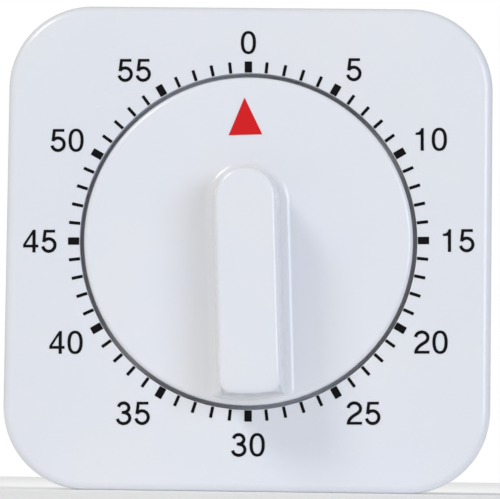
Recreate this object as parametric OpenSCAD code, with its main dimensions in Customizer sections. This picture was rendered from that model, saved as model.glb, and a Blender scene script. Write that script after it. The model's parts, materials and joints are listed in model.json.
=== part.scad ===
// Wind-up sixty minute lab timer: a square case, a turning dial knob and the clockwork behind it.
// Pieces are drawn in dial coordinates: x to the right, y towards the zero mark, z out of the dial,
// with z = 0 at the case's front face. place() stands the finished timer on its lower edge.

/* [Case] */
// Width and height of the square case
case_size = 75; // [72:0.5:78]
// Depth of the case from front face to back face
case_depth = 26; // [26:0.5:30]
// Radius of the case's four corners, seen from the front
corner_r = 12.8; // [10:0.2:15]
// Radius that rounds the front and back edges
edge_r = 1.4; // [0.8:0.1:2]
// Thickness of the case's walls
wall = 2; // [1.6:0.1:2.4]
// Depth of the moulded front shell, up to the seam with the rear cover
shell_depth = 21; // [20:0.5:22]
// Height of the dial's centre above the case's centre
dial_rise = 1.1; // [0:0.1:1.2]

/* [Dial] */
// Radius of the round recess that the knob turns in
recess_r = 26.05; // [26:0.05:27]
// Depth of that recess
recess_depth = 3.2; // [3:0.1:3.6]
// Outer radius of the ring of minute marks
mark_outer_r = 27.85; // [27.5:0.05:28.4]
// Width of a one minute mark
mark_w = 0.48; // [0.3:0.02:0.6]
// Width of a five minute mark
bold_mark_w = 1.14; // [0.8:0.02:1.2]
// Height of the numerals
digit_h = 3.5; // [3:0.1:4]
// Distance from the dial's centre to the nearest corner of a numeral
numeral_r = 29.05; // [28.8:0.05:29.6]
// Angle by which the slanting numerals stand nearer the sides than their marks
numeral_lean = 1.4; // [0:0.1:2]
// Angle by which the whole print sits turned anticlockwise on the case
print_turn = 0.7; // [0:0.1:1.5]
// Thickness of the printed ink
ink = 0.06; // [0.04:0.01:0.1]

/* [Knob] */
// Radius of the knob's disc
knob_r = 25.4; // [25:0.05:25.8]
// How far the disc stands in front of the case
knob_proud = 0.4; // [0:0.1:0.8]
// Height of the finger grip above the disc
grip_h = 9.1; // [7:0.1:10]
// Width of the grip's flat top
grip_w = 9.3; // [8:0.1:10]
// How far each side of the grip leans out from top to base
grip_draft = 1.1; // [0.6:0.1:1.4]
// Distance from the dial's centre to the round end of the grip's top
grip_reach = 10.6; // [9:0.1:12]
// Angle at which the knob rests past its zero mark
rest_past_zero = 1.5; // [0:0.5:4]

/* [Clockwork] */
// Tooth module of the main wheel
main_module = 0.36; // [0.34:0.02:0.36]
// Tooth module of the second wheel
second_module = 0.3; // [0.28:0.02:0.3]
// Tooth module of the third wheel
third_module = 0.25; // [0.23:0.02:0.25]
// Radius of the main arbor
arbor_r = 2; // [1.8:0.1:2]
// Turns of the mainspring
spring_turns = 7; // [5:1:8]
// Radius of the bell's rim
bell_r = 17; // [15:0.5:17]

/* [Hidden] */
$fn = 96;

half = case_size / 2;
back_z = -case_depth;
magnet_proud = 0.2;
grip_top_z = knob_proud + grip_h;
total_depth = grip_top_z + case_depth + magnet_proud;
face_y = grip_top_z - total_depth / 2;
axis_z = half + dial_rise;
knob_turned = rest_past_zero + print_turn;

// Layers of the clockwork, from the dial to the back
pan_floor = 1.6;
plate_front_z = -6.4;
plate_t = 1;
front_plate_z = plate_front_z - plate_t;
rear_plate_top_z = -17.4;
rear_plate_z = rear_plate_top_z - plate_t;
spring_top_z = front_plate_z - 0.4;
spring_h = 3.2;
main_wheel_z = -12.3;
main_wheel_t = 0.8;
second_wheel_z = -14.4;
third_wheel_z = -16;
thin_wheel_t = 0.6;
escape_wheel_z = -10.2;
pallet_z = -11;
pallet_t = 0.5;
roller_z = -12;
balance_z = -14.6;
strike_z = rear_plate_z - 1.1;
strike_t = 0.7;
bell_rim_z = strike_z - 0.3;
bell_depth = 2.9;
bell_wall = 0.7;

// Gears: eighty tooth wheels drive ten leaf pinions
wheel_teeth = 80;
leaves = 10;
star_teeth = 12;
escape_teeth = 15;
pressure_angle = 20;
shift = 0.4;
thinning = 0.1;
pinion_tip = 1.25;
pinion_root = 0.85;
wheel_tip = 0.6;
wheel_root = 1.65;

// Places of the arbors, each worked out from the one before it
function polar(r, a) = [r * cos(a), r * sin(a)];
function mesh_distance(m) = m * (wheel_teeth + leaves) / 2;
second_angle = 180;
third_angle = -63;
escape_angle = -20;
pallet_angle = 15;
balance_angle = 20;
strike_angle = 58.5;
second_at = polar(mesh_distance(main_module), second_angle);
third_at = second_at + polar(mesh_distance(second_module), third_angle);
escape_at = third_at + polar(mesh_distance(third_module), escape_angle);
pallet_gap = 5.6;
pallet_at = escape_at + polar(pallet_gap, pallet_angle);
balance_gap = 6.5;
balance_at = pallet_at + polar(balance_gap, balance_angle);
strike_at = polar(mesh_distance(main_module), strike_angle);
hammer_at = [10.5, 6.5];
hammer_tip = [13, -9.5];
bell_at = [0, -10];
half_leaf = 180 / leaves;

// Small parts
pivot_r = 0.5;
pivot_play = 0.05;
arbor_thin_r = 0.7;
pallet_arbor_r = 0.4;
arbor_rear_r = 1.5;
hub_hole_r = 3.2;
escape_tip_r = 3.9;
pin_r = 0.15;
pin_gap = 0.08;
pin_spread = 30;
impulse_r = 1.4;
impulse_pin_r = 0.25;
balance_r = 5.6;
cam_r = 4;
nose_r = 0.5;
nose_gap = 0.1;
nose_angle = 82;
notch_angle = 79;
head_r = 1.2;
pillar_xy = [[-21, -19], [21, -19], [-21, 15], [21, 15]];
mounting_xy = [[-25.6, 10], [25.6, 10], [-25.6, -14], [25.6, -14]];
screw_inset = 8;
knob_rim = 0.8;
case_screw_at = half - screw_inset;
boss_r = 3.4;
case_hole_r = 1.1;
case_hole_depth = 12;
mounting_boss_r = 2.4;
mounting_hole_r = 0.8;
mounting_hole_depth = 3.6;
post_bore_r = 1;
magnet_r = 5;
magnet_x = 22;
magnet_y = 16;
magnet_floor_z = back_z + 1.8;
screw_seat_z = back_z + 1.6;
spring_post_at = [0, 11.3];
spring_post_r = 0.5;
movement_steel = "silver";
brass = "goldenrod";

module place() {
  translate([0, face_y, axis_z]) rotate([90, 0, 0]) children();
}

module at(p, z = 0) {
  translate([p[0], p[1], z]) children();
}

module rod(r, low, high) {
  translate([0, 0, low]) cylinder(r = r, h = high - low);
}

// A round hole right through whatever it is cut from
module bore(r) {
  rod(r, -2 * case_depth, case_depth);
}

// A flat arm of one width from p to q
module arm(p, q, w, z, t) {
  d = q - p;
  at(p, z) rotate([0, 0, atan2(d[1], d[0])]) translate([0, -w / 2, 0]) cube([norm(d), w, t]);
}

module case_centre() {
  translate([0, -dial_rise, 0]) children();
}

module four_corners(d) {
  for (x = [-d, d], y = [-d, d]) translate([x, y, 0]) children();
}

// A corner post whose upper edge is rounded; its top is at z = 0
module rounded_post(r, edge, h) {
  steps = 8;
  arc_points = [for (i = [0:steps]) let (a = 90 * i / steps)
                [r - edge + edge * sin(a), -edge + edge * cos(a)]];
  rotate_extrude($fn = 80) polygon(concat([[0, 0]], arc_points, [[r, -h], [0, -h]]));
}

module rounded_slab(size, r, edge, h) {
  hull() four_corners(size / 2 - r) rounded_post(r, edge, h);
}

module square_block(size, r, low, high) {
  hull() four_corners(size / 2 - r) translate([0, 0, low]) cylinder(r = r, h = high - low, $fn = 80);
}

// ---- Case ----

module case_boss_xy() {
  case_centre() four_corners(case_screw_at) children();
}

module front_case() {
  color("white") place() difference() {
    union() {
      case_centre() difference() {
        rounded_slab(case_size, corner_r, edge_r, shell_depth);
        square_block(case_size - 2 * wall, corner_r - wall, -shell_depth - 1, -wall);
      }
      rod(recess_r + pan_floor, -recess_depth - pan_floor, -wall / 2);
      case_boss_xy() rod(boss_r, -shell_depth, -wall / 2);
      for (p = mounting_xy) at(p) rod(mounting_boss_r, plate_front_z, -wall / 2);
    }
    rod(recess_r, -recess_depth, 1);
    rod(hub_hole_r, -recess_depth - pan_floor - 1, 1);
    case_boss_xy() rod(case_hole_r, -shell_depth - 1, -shell_depth + case_hole_depth);
    for (p = mounting_xy) at(p) rod(mounting_hole_r, plate_front_z - 1, plate_front_z + mounting_hole_depth);
  }
}

module magnet_places() {
  case_centre() for (x = [-magnet_x, magnet_x]) at([x, magnet_y]) children();
}

module rear_cover() {
  seam_z = -shell_depth;
  cover_floor = 2.4;
  lip_w = 1.2;
  lip_h = 1.2;
  lip_gap = 0.15;
  shank_hole_r = 1.3;
  head_hole_r = 2.7;
  slot_rows = 3;
  slot_pitch = 3.6;
  slots_below_centre = 8;
  lip_size = case_size - 2 * (wall + lip_gap);
  color("white") place() difference() {
    union() {
      case_centre() difference() {
        translate([0, 0, back_z]) mirror([0, 0, 1])
          rounded_slab(case_size, corner_r, edge_r, case_depth - shell_depth);
        square_block(case_size - 2 * wall, corner_r - wall, back_z + cover_floor, seam_z + 1);
      }
      case_centre() difference() {
        square_block(lip_size, corner_r - wall - lip_gap, back_z + 1, seam_z + lip_h);
        square_block(lip_size - 2 * lip_w, corner_r - wall - lip_w, back_z + cover_floor, seam_z + 2);
      }
      case_boss_xy() rod(boss_r + 0.4, back_z + 1, seam_z);
    }
    case_boss_xy() rod(boss_r + 0.2, seam_z, seam_z + 3);
    case_boss_xy() rod(shank_hole_r, back_z - 1, seam_z + 2);
    case_boss_xy() rod(head_hole_r, back_z - 1, screw_seat_z);
    magnet_places() rod(magnet_r + 0.1, back_z - 1, magnet_floor_z);
    case_centre() for (i = [-slot_rows:slot_rows])
      translate([0, i * slot_pitch - slots_below_centre, 0]) sound_slot(back_z);
  }
}

// A slot with round ends, cut through the rear cover's floor
module sound_slot(z) {
  slot_w = 1.6;
  slot_l = 20;
  translate([0, 0, z - 1]) union() {
    translate([-slot_l / 2, -slot_w / 2, 0]) cube([slot_l, slot_w, 6]);
    for (x = [-1, 1]) translate([x * slot_l / 2, 0, 0]) cylinder(d = slot_w, h = 6);
  }
}

module cross_recess(w, depth) {
  for (a = [0, 90]) rotate([0, 0, a]) translate([-w / 2, -w / 8, -1]) cube([w, w / 4, 1 + depth]);
}

module case_screws() {
  head_z = back_z + 0.5;
  head_disc_r = 2.5;
  shank_r = 1.05;
  color(movement_steel) place() case_boss_xy() difference() {
    union() {
      rod(head_disc_r, head_z, screw_seat_z);
      rod(shank_r, head_z, -shell_depth + 8);
    }
    translate([0, 0, head_z]) cross_recess(3, 0.7);
  }
}

module magnets() {
  color("dimgray") place() magnet_places() rod(magnet_r, back_z - magnet_proud, magnet_floor_z);
}

// ---- Knob and dial print ----

// The finger grip: round at its head, while its tail is cut off round the dial's centre
module grip_body() {
  base_r = grip_w / 2 + grip_draft;
  top_r = grip_w / 2;
  top_edge = 1;
  base_corner = 1.2;
  top_corner = 1.6;
  slope = 1.8;
  foot_reach = knob_r - knob_rim - base_corner - 0.2;
  hull() {
    translate([0, grip_reach - top_r, grip_top_z]) rounded_post(top_r, top_edge, 1.6);
    translate([0, grip_reach - top_r, 0]) cylinder(r = base_r, h = 0.5, $fn = 80);
    for (side = [-1:1]) {
      at(tail_point(side * (base_r - base_corner), foot_reach))
        cylinder(r = base_corner, h = 0.5, $fn = 32);
      at(tail_point(side * (top_r - top_corner), foot_reach - slope), grip_top_z)
        rounded_post(top_corner, top_edge, 1.6);
    }
  }
}
function tail_point(x, reach) = [x, -sqrt(reach * reach - x * x)];

// The hollow under the knob, which leaves a wall all round
module knob_hollow() {
  web = 1.6;
  hollow_r = 2.6;
  hollow_tail = 18;
  hollow_head = grip_reach - grip_w / 2 - 1.4;
  roof_z = 7;
  rod(knob_r - 1.6, -recess_depth - 1, knob_proud - web);
  for (y = [hollow_head, -hollow_tail]) translate([0, y, -1.4]) cylinder(r = hollow_r, h = roof_z + 1.4);
  translate([-hollow_r, -hollow_tail, -1.4])
    cube([2 * hollow_r, hollow_tail + hollow_head, roof_z + 1.4]);
}

module dial_knob() {
  hub_r = 3.4;
  collar_r = 2.9;
  color("white") place() rotate([0, 0, knob_turned]) difference() {
    union() {
      difference() {
        union() {
          translate([0, 0, knob_proud]) rounded_post(knob_r, knob_rim, recess_depth + knob_proud - 0.4);
          grip_body();
        }
        knob_hollow();
      }
      rod(collar_r, -recess_depth - 1, -0.6);
      rod(hub_r, -1.1, 7.4);
    }
    rod(arbor_r + pivot_play, -recess_depth - 2, 6);
  }
}

module pointer_mark() {
  apex_r = 22.2;
  base_r = 16.4;
  half_w = 2.6;
  color("red") place() rotate([0, 0, knob_turned]) translate([0, 0, knob_proud])
    linear_extrude(ink) polygon([[0, apex_r], [-half_w, base_r], [half_w, base_r]]);
}

module minute_marks() {
  mark_inner_r = recess_r + 0.06;
  color("black") place() for (i = [0:59]) rotate([0, 0, print_turn - 6 * i]) {
    w = i % 5 == 0 ? bold_mark_w : mark_w;
    translate([-w / 2, mark_inner_r, 0]) cube([w, mark_outer_r - mark_inner_r, ink]);
  }
}

// Numerals are one unit high and drawn with a pen; their flat strokes are a little thinner than the rest
pen = 0.14;
bar = 0.122;
digit_w = 0.67;
digit_step = 0.8;
function arc(c, rx, ry, from, to, n = 12) =
  [for (i = [0:n]) let (a = from + (to - from) * i / n) c + [rx * cos(a), ry * sin(a)]];
function bezier(a, b, c, d, n = 8) =
  [for (i = [1:n]) let (t = i / n, u = 1 - t)
   u * u * u * a + 3 * u * u * t * b + 3 * u * t * t * c + t * t * t * d];
function along(p, i) = let (v = p[min(i + 1, len(p) - 1)] - p[max(i - 1, 0)]) v / norm(v);
function offset_path(p, d) = [for (i = [0:len(p) - 1]) let (t = along(p, i)) p[i] + d * [-t[1], t[0]]];
function reversed(p) = [for (i = [len(p) - 1:-1:0]) p[i]];
module stroke(p, w = pen) {
  polygon(concat(offset_path(p, w / 2), reversed(offset_path(p, -w / 2))));
}

module box_2d(x0, y0, x1, y1) {
  translate([x0, y0]) square([x1 - x0, y1 - y0]);
}

function rounded_oval(rx, ry, n = 40) =
  [for (i = [0:n - 1]) let (a = 360 * i / n, c = cos(a), s = sin(a))
   [rx * sign(c) * pow(abs(c), 0.86), ry * sign(s) * pow(abs(s), 0.86)]];

module digit_0() {
  translate([digit_w / 2, 0.5]) difference() {
    polygon(rounded_oval(digit_w / 2, 0.515));
    polygon(rounded_oval(digit_w / 2 - pen, 0.515 - bar));
  }
}

module digit_1() {
  polygon(concat([[0.45, 0], [0.45, 1], [0.345, 1]],
                 bezier([0.345, 1], [0.3, 0.84], [0.22, 0.8], [0.09, 0.8], 6),
                 [[0.09, 0.7], [0.31, 0.7], [0.31, 0]]));
}

module digit_2() {
  bowl = arc([0.335, 0.705], 0.27, 0.245, 175, -20);
  stroke(concat(bowl, bezier(bowl[len(bowl) - 1], [0.53, 0.44], [0.1, 0.4], [0.07, 0.04])));
  box_2d(0.005, 0, digit_w, bar);
}

module digit_3() {
  stroke(arc([0.325, 0.74], 0.23, 0.21, 170, -90));
  stroke(arc([0.325, 0.285], 0.275, 0.245, 90, -172));
  box_2d(0.24, 0.53 - bar / 2, 0.34, 0.53 + bar / 2);
}

module digit_4() {
  difference() {
    polygon([[0, 0.22], [0, 0.35], [0.43, 1], [0.55, 1], [0.55, 0.22]]);
    polygon([[0.115, 0.22 + bar], [0.41, 0.22 + bar], [0.41, 0.8]]);
  }
  box_2d(0.41, 0, 0.55, 0.5);
  box_2d(0.5, 0.22, digit_w, 0.22 + bar);
}

module digit_5() {
  box_2d(0.13, 1 - bar, 0.61, 1);
  polygon([[0.11, 1], [0.235, 0.93], [0.178, 0.47], [0.045, 0.46]]);
  stroke(arc([0.335, 0.325], 0.275, 0.28, 146, -168, 16));
}

module digit(d) {
  if (d == 0) digit_0();
  if (d == 1) digit_1();
  if (d == 2) digit_2();
  if (d == 3) digit_3();
  if (d == 4) digit_4();
  if (d == 5) digit_5();
}

// One numeral, centred on its own middle
module numeral(value) {
  digits = value < 10 ? [value] : [floor(value / 10), value % 10];
  width = (len(digits) - 1) * digit_step + digit_w;
  scale(digit_h) translate([-width / 2, -0.5])
    for (i = [0:len(digits) - 1]) translate([i * digit_step, 0]) digit(digits[i]);
}

// The corner nearest the dial sets each numeral's place; at the sides and the bottom it is further out
function numeral_at(i, w) =
  let (a = 30 * i, upright = i % 3 == 0, lean = upright ? 0 : numeral_lean * sign(sin(2 * a)),
       r = numeral_r + (upright && i > 0 ? 0.6 : 0))
  [r * sin(a + lean) + w / 2 * sign(sin(a)), r * cos(a + lean) + digit_h / 2 * sign(cos(a))];

module numerals() {
  color("black") place() rotate([0, 0, print_turn]) for (i = [0:11]) {
    w = digit_h * (i < 2 ? digit_w : digit_w + digit_step);
    at(numeral_at(i, w)) linear_extrude(ink) numeral(5 * i);
  }
}

// ---- Gears ----

// Half the angle of an involute tooth at radius r, all in tooth modules
function inv(a) = tan(a) * 180 / PI - a;
function half_tooth(n, s, r) =
  let (pitch_r = n / 2, base_r = pitch_r * cos(pressure_angle), a = acos(min(1, base_r / max(r, base_r))))
  s / (2 * pitch_r) * 180 / PI + inv(pressure_angle) - inv(a);
function tooth_width(shifted) = PI / 2 + 2 * shifted * tan(pressure_angle) - thinning;
function gear_outline(n, s, radii) =
  [for (i = [0:n - 1])
    each concat([for (r = radii) polar(r, 360 * i / n - half_tooth(n, s, r))],
                [for (r = reversed(radii)) polar(r, 360 * i / n + half_tooth(n, s, r))])];

module wheel_rim(m) {
  pitch_r = wheel_teeth / 2;
  radii = [pitch_r - wheel_root, pitch_r - 0.45, pitch_r + 0.1, pitch_r + wheel_tip];
  scale(m) polygon(gear_outline(wheel_teeth, tooth_width(-shift), radii));
}

module pinion_leaves(m) {
  pitch_r = leaves / 2;
  radii = [pitch_r - pinion_root, pitch_r - 0.25, pitch_r + 0.4, pitch_r + 0.85, pitch_r + pinion_tip];
  scale(m) polygon(gear_outline(leaves, tooth_width(shift), radii));
}

// A crossed-out wheel with five arms and a round hub
module clock_wheel(m, t, bore_r, hub_r) {
  rim_r = m * (wheel_teeth / 2 - wheel_root) - 1.3;
  arm_w = 1.3;
  linear_extrude(t) difference() {
    wheel_rim(m);
    difference() {
      circle(r = rim_r);
      circle(r = hub_r);
      for (i = [0:4]) rotate(72 * i) translate([0, -arm_w / 2]) square([rim_r + 1, arm_w]);
    }
    circle(r = bore_r);
  }
}

// An arbor with a pivot at each end and its leaves cut in the middle
module pinion(m, phase, low, high) {
  rod(pivot_r, rear_plate_z, front_plate_z + plate_t);
  rod(arbor_thin_r, rear_plate_top_z + 0.15, front_plate_z - 0.15);
  translate([0, 0, low]) rotate([0, 0, phase]) linear_extrude(high - low) pinion_leaves(m);
}

module second_pinion() {
  color(movement_steel) place() at(second_at)
    pinion(main_module, second_angle + 180 + half_leaf, -13.1, -11.1);
}

module second_wheel() {
  color(brass) place() at(second_at, second_wheel_z)
    rotate([0, 0, third_angle]) clock_wheel(second_module, thin_wheel_t, arbor_thin_r, 2);
}

module third_pinion() {
  color(movement_steel) place() at(third_at)
    pinion(second_module, third_angle + 180 + half_leaf, -15, -13.2);
}

module third_wheel() {
  color(brass) place() at(third_at, third_wheel_z)
    rotate([0, 0, escape_angle]) clock_wheel(third_module, thin_wheel_t, arbor_thin_r, 2);
}

module escape_pinion() {
  color(movement_steel) place() at(escape_at)
    pinion(third_module, escape_angle + 180 + half_leaf, -16.6, -14.8);
}

module escape_wheel() {
  root_r = 2.9;
  tooth = 360 / escape_teeth;
  color(brass) place() at(escape_at, escape_wheel_z) rotate([0, 0, pallet_angle])
    linear_extrude(thin_wheel_t) difference() {
      polygon([for (i = [0:escape_teeth - 1], p = [[root_r, -5], [escape_tip_r, -1.2], [escape_tip_r, 1.2],
                                                    [root_r, 5]]) polar(p[0], tooth * i + p[1])]);
      circle(r = arbor_thin_r);
      for (i = [0:4]) rotate(72 * i) translate([1.8, 0]) circle(r = 0.5);
    }
}

// ---- Winding arbor, mainspring and clutch ----

module main_arbor() {
  flat_at = 1.3;
  color(movement_steel) place() {
    difference() {
      rod(arbor_r, rear_plate_top_z + 0.1, 5.5);
      translate([flat_at, -arbor_r, -1.5]) cube([arbor_r, 2 * arbor_r, 8]);
    }
    rod(arbor_rear_r, strike_z - 0.1, 0);
  }
}

module spring_hub() {
  color(movement_steel) place() difference() {
    rod(2.6, spring_top_z - spring_h, spring_top_z);
    bore(arbor_r);
  }
}

// The mainspring's centre line runs out from the hub to the anchor post
module mainspring() {
  strip = 0.2;
  inner = 2.75;
  outer = norm(spring_post_at) - spring_post_r - 0.15;
  steps = 24 * spring_turns;
  path = [for (i = [0:steps]) polar(inner + (outer - inner) * i / steps, 90 - 360 * (steps - i) / 24)];
  color("slategray") place() translate([0, 0, spring_top_z - spring_h + 0.1])
    linear_extrude(spring_h - 0.2) stroke(path, strip);
}

module spring_post() {
  color(movement_steel) place() at(spring_post_at)
    rod(spring_post_r, spring_top_z - spring_h, front_plate_z + plate_t);
}

module main_wheel() {
  color(brass) place() translate([0, 0, main_wheel_z])
    clock_wheel(main_module, main_wheel_t, arbor_r, 4);
}

module clutch_washer() {
  color("silver") place() translate([0, 0, main_wheel_z - 0.3]) linear_extrude(0.3) difference() {
    union() {
      circle(r = 3.1);
      for (i = [0:2]) rotate(120 * i) translate([0, -0.5]) square([3.4, 1]);
    }
    circle(r = arbor_r);
  }
}

module clutch_collar() {
  color(brass) place() difference() {
    rod(3.1, main_wheel_z - 1.1, main_wheel_z - 0.3);
    bore(arbor_r);
  }
}

module alarm_cam() {
  notch_w = 2.2;
  notch_r = 2.7;
  color(brass) place() translate([0, 0, strike_z]) difference() {
    cylinder(r = cam_r, h = strike_t);
    translate([0, 0, -1]) cylinder(r = arbor_rear_r, h = 3);
    rotate([0, 0, notch_angle]) translate([notch_r, -notch_w / 2, -1]) cube([3, notch_w, 3]);
  }
}

// ---- Plates and fasteners ----

module plate_outline(w, low, high) {
  r = 3;
  translate([0, (low + high) / 2, 0]) hull()
    for (x = [r - w, w - r], y = [r - (high - low) / 2, (high - low) / 2 - r])
      translate([x, y, 0]) cylinder(r = r, h = plate_t, $fn = 32);
}

module pivot_holes() {
  for (p = [second_at, third_at, escape_at, balance_at, strike_at]) at(p) bore(pivot_r + pivot_play);
  at(pallet_at) bore(pallet_arbor_r + pivot_play);
}

module front_plate() {
  ear = 4;
  color("silver") place() difference() {
    union() {
      translate([0, 0, front_plate_z]) plate_outline(24, -22, 18);
      for (p = mounting_xy) at(p, front_plate_z) {
        cylinder(r = mounting_boss_r, h = plate_t);
        translate([p[0] > 0 ? -ear : 0, -mounting_boss_r, 0]) cube([ear, 2 * mounting_boss_r, plate_t]);
      }
    }
    pivot_holes();
    bore(arbor_r + pivot_play);
    at(spring_post_at) bore(spring_post_r);
    for (p = mounting_xy) at(p) bore(1.1);
    for (p = pillar_xy) at(p) bore(post_bore_r);
  }
}

module rear_plate() {
  color("silver") place() difference() {
    translate([0, 0, rear_plate_z]) plate_outline(23.5, -22, 18);
    pivot_holes();
    bore(arbor_rear_r + pivot_play);
    for (p = concat(pillar_xy, [hammer_at, bell_at])) at(p) bore(post_bore_r);
    at(hairspring_stud_at) bore(stud_r);
  }
}

module pillars() {
  color(movement_steel) place() for (p = pillar_xy) at(p) {
    rod(1.7, rear_plate_top_z, front_plate_z);
    rod(post_bore_r, rear_plate_z - 1.6, front_plate_z + plate_t);
  }
}

module pillar_nuts() {
  nut_h = 1.3;
  color(brass) place() for (p = pillar_xy) at(p, rear_plate_z - nut_h) difference() {
    cylinder(r = 2, h = nut_h, $fn = 6);
    translate([0, 0, -1]) cylinder(r = post_bore_r, h = nut_h + 2);
  }
}

module movement_screws() {
  color(movement_steel) place() for (p = mounting_xy) at(p) difference() {
    union() {
      rod(1.7, front_plate_z - 0.9, front_plate_z);
      rod(0.75, front_plate_z - 0.5, plate_front_z + 3.2);
    }
    translate([-2, -0.2, front_plate_z - 1.2]) cube([4, 0.4, 0.7]);
  }
}

// ---- Escapement ----

module pallet_arbor() {
  color(movement_steel) place() at(pallet_at) rod(pallet_arbor_r, rear_plate_z, plate_front_z);
}

// The two pins stand just outside the escape wheel's teeth, at either side of the line of centres
function pallet_pin_at(side) = polar(escape_tip_r + pin_r + pin_gap, pallet_angle + side * pin_spread);
module pallet_lever() {
  arm_w = 0.9;
  fork_reach = balance_gap - impulse_r + 0.45;
  slot_w = 2 * (impulse_pin_r + 0.08);
  color(brass) place() difference() {
    union() {
      at(pallet_at, pallet_z) cylinder(r = 1.1, h = pallet_t);
      for (side = [-1, 1]) {
        pin = escape_at + pallet_pin_at(side);
        arm(pallet_at, pin, arm_w, pallet_z, pallet_t);
        at(pin, pallet_z) cylinder(r = 0.5, h = pallet_t);
      }
      at(pallet_at, pallet_z) rotate([0, 0, balance_angle]) {
        translate([0, -arm_w / 2, 0]) cube([fork_reach - 1, arm_w, pallet_t]);
        translate([fork_reach - 1.6, -1, 0]) cube([1.6, 2, pallet_t]);
      }
    }
    at(pallet_at, pallet_z - 1) rotate([0, 0, balance_angle])
      translate([fork_reach - 1, -slot_w / 2, 0]) cube([2, slot_w, 3]);
    at(pallet_at) bore(pallet_arbor_r);
    for (side = [-1, 1]) at(escape_at + pallet_pin_at(side)) bore(pin_r);
  }
}

module pallet_pins() {
  color(movement_steel) place() for (side = [-1, 1])
    at(escape_at + pallet_pin_at(side)) rod(pin_r, pallet_z, escape_wheel_z + thin_wheel_t + 0.3);
}

module balance_staff() {
  color(movement_steel) place() at(balance_at) {
    rod(0.4, rear_plate_z, plate_front_z);
    rod(pivot_r, rear_plate_z, rear_plate_top_z);
    rod(pivot_r, front_plate_z, plate_front_z);
    rod(arbor_thin_r, rear_plate_top_z + 0.15, roller_z);
  }
}

module balance_wheel() {
  rim_w = 0.9;
  color(brass) place() at(balance_at, balance_z) linear_extrude(thin_wheel_t + 0.2) difference() {
    circle(r = balance_r);
    difference() {
      circle(r = balance_r - rim_w);
      circle(r = 1.4);
      rotate(balance_angle) translate([-balance_r, -0.5]) square([2 * balance_r, 1]);
    }
    circle(r = arbor_thin_r);
  }
}

module balance_roller() {
  color(brass) place() at(balance_at, roller_z) linear_extrude(0.6) difference() {
    circle(r = 1.85);
    circle(r = 0.4);
    rotate(balance_angle + 180) translate([impulse_r, 0]) circle(r = impulse_pin_r);
  }
}

module impulse_pin() {
  color(movement_steel) place() at(balance_at) rotate([0, 0, balance_angle + 180])
    translate([impulse_r, 0, 0]) rod(impulse_pin_r, roller_z, pallet_z + pallet_t + 0.2);
}

hairspring_outer = 3.4;
hairspring_z = -16;
stud_r = 0.4;
hairspring_stud_at = balance_at + [hairspring_outer + 0.45, 0];
module hairspring() {
  turns = 5;
  steps = 20 * turns;
  inner = 0.85;
  path = [for (i = [0:steps]) polar(inner + (hairspring_outer - inner) * i / steps, 18 * i)];
  color("slategray") place() at(balance_at, hairspring_z) linear_extrude(0.4) stroke(path, 0.1);
}

module hairspring_stud() {
  color(brass) place() at(hairspring_stud_at) rod(stud_r, rear_plate_z, hairspring_z + 0.6);
}

// ---- Alarm ----

module strike_pinion() {
  color(movement_steel) place() at(strike_at) {
    pinion(main_module, strike_angle + 180 + half_leaf, -13.1, -11.1);
    rod(pivot_r, strike_z - 0.1, rear_plate_top_z);
  }
}

module star_wheel() {
  step = 360 / star_teeth;
  color(brass) place() at(strike_at, strike_z) linear_extrude(strike_t) difference() {
    polygon([for (i = [0:star_teeth - 1], p = [[2.3, -9], [3.2, 0], [2.3, 3]])
             polar(p[0], step * i + p[1])]);
    circle(r = pivot_r);
  }
}

module hammer_stud() {
  color(movement_steel) place() at(hammer_at) {
    rod(post_bore_r, strike_z - 1.3, rear_plate_top_z);
    rod(1.5, strike_z - 1.5, strike_z - 1.2);
  }
}

module hammer_lever() {
  nose_at = polar(cam_r + nose_gap + nose_r, nose_angle);
  tail_at = hammer_at + 3.5 * (strike_at - hammer_at) / norm(strike_at - hammer_at);
  color(movement_steel) place() difference() {
    union() {
      at(hammer_at, strike_z) cylinder(r = 2, h = strike_t);
      at(nose_at, strike_z) cylinder(r = nose_r, h = strike_t);
      at(hammer_tip, strike_z) cylinder(r = head_r, h = strike_t);
      arm(hammer_at, nose_at, 0.8, strike_z, strike_t);
      arm(hammer_at, hammer_tip, 1.4, strike_z, strike_t);
      arm(hammer_at, tail_at, 1.2, strike_z, strike_t);
    }
    at(hammer_at) bore(post_bore_r + pivot_play);
  }
}

module hammer_head() {
  color(brass) place() at(hammer_tip) rod(head_r, strike_z - 1.5, strike_z);
}

module hammer_spring() {
  wire = 0.18;
  color("slategray") place() at(hammer_at, strike_z - 0.4) rotate_extrude()
    for (i = [0:2]) translate([1.5, -0.3 * i + 0.17]) circle(r = wire, $fn = 24);
}

module bell_post() {
  color(movement_steel) place() at(bell_at) {
    rod(1.6, bell_rim_z - bell_depth + bell_wall + 0.03, rear_plate_z);
    rod(post_bore_r, bell_rim_z - bell_depth - 0.4, rear_plate_top_z);
  }
}

// A shallow dome with a steep rim, open towards the clockwork
function dome(r, h, steps = 20) =
  [for (i = [0:steps]) let (a = 90 * i / steps) [r * sqrt(cos(a)), -h * sqrt(sin(a))]];

module bell() {
  inner = dome(bell_r - bell_wall, bell_depth - bell_wall);
  color("silver") place() at(bell_at, bell_rim_z) difference() {
    rotate_extrude() polygon(concat(dome(bell_r, bell_depth), reversed(inner)));
    bore(post_bore_r + pivot_play);
  }
}

module bell_screw() {
  head_h = 0.6;
  color(brass) place() at(bell_at, bell_rim_z - bell_depth - head_h) difference() {
    cylinder(r = 2.2, h = head_h);
    translate([0, 0, 0.2]) cylinder(r = post_bore_r, h = 1);
  }
}

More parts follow.
